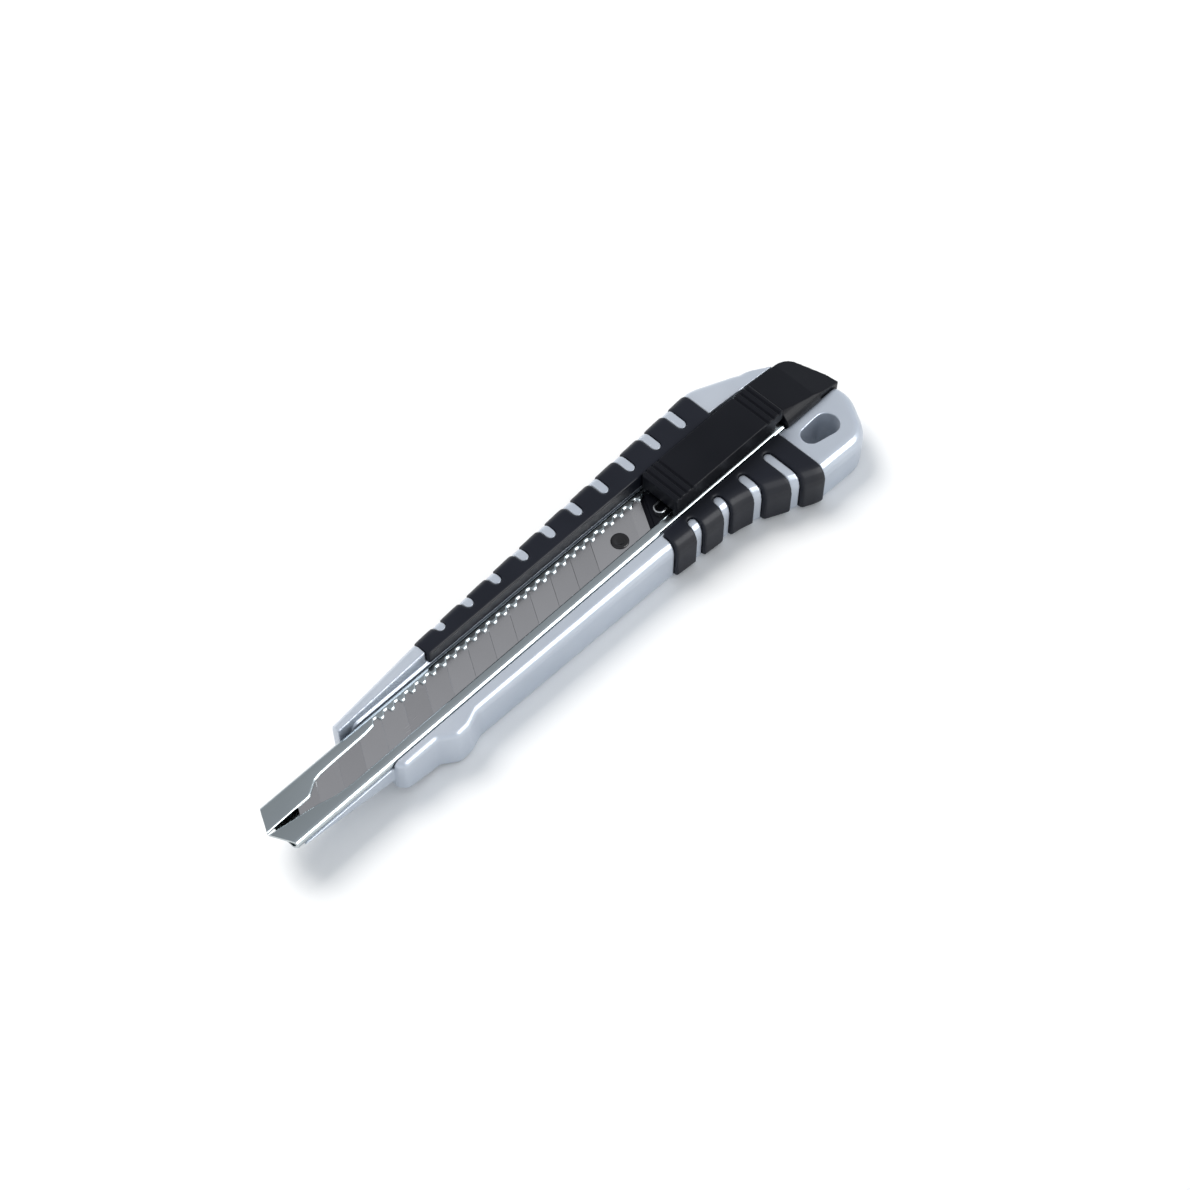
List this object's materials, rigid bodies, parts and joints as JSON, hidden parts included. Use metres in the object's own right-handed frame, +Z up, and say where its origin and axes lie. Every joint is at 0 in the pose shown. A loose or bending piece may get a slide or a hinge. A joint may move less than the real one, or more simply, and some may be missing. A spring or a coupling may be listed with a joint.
{
  "type": "utility knife",
  "caption": "Snap-off utility knife with a cast handle, rubber comb grips, a serrated blade channel and a self-locking thumb slider, lying on its flat back.",
  "frame": {"origin": "on the ground under the middle of the knife's box", "axes": "+X from the blade tip to the end cap, +Y toward the spine side with the long grip, +Z up out of the blade channel"},
  "size_m": [0.1404, 0.0298, 0.0153],
  "materials": {
    "cast_handle": "satin silver-grey",
    "grip_rubber": "matt",
    "channel_steel": "satin, bright cut edges",
    "rivet_steel": "satin",
    "blade_steel": "fine ground",
    "carrier_plastic": "matt",
    "spring_steel": "bright",
    "slider_plastic": "fine grain",
    "cap_plastic": "fine grain"
  },
  "bodies": {
    "handle": {"handle_casting": "cast_handle", "spine_grip": "grip_rubber", "edge_grip": "grip_rubber", "blade_channel": "channel_steel", "channel_rivet_front": "rivet_steel", "channel_rivet_rear": "rivet_steel"},
    "carrier": {"blade_carrier": "carrier_plastic", "blade": "blade_steel", "blade_pin": "carrier_plastic"},
    "slider": {"thumb_slider": "slider_plastic"},
    "spring": {"lock_spring": "spring_steel"},
    "cap": {"end_cap": "cap_plastic"}
  },
  "joints": [
    {"name": "blade_advance", "type": "slide", "parent": "handle", "child": "carrier", "axis": [-1, 0, 0], "range_m": [0, 0.06]},
    {"name": "slider_release", "type": "slide", "parent": "carrier", "child": "slider", "axis": [-1, 0, 0], "range_m": [0, 0.001], "stiffness_N_per_m": 400},
    {"name": "spring_release", "type": "hinge", "parent": "carrier", "child": "spring", "pos_m": [0.0245, 0.00123, 0.01065], "axis": [0, 0, 1], "range_deg": [-6, 0]},
    {"name": "end_cap_pull", "type": "slide", "parent": "handle", "child": "cap", "axis": [1, 0, 0], "range_m": [0, 0.012]}
  ],
  "couplings": [
    {"joint": "spring_release", "follows": "slider_release", "rad_per_m": -100}
  ]
}
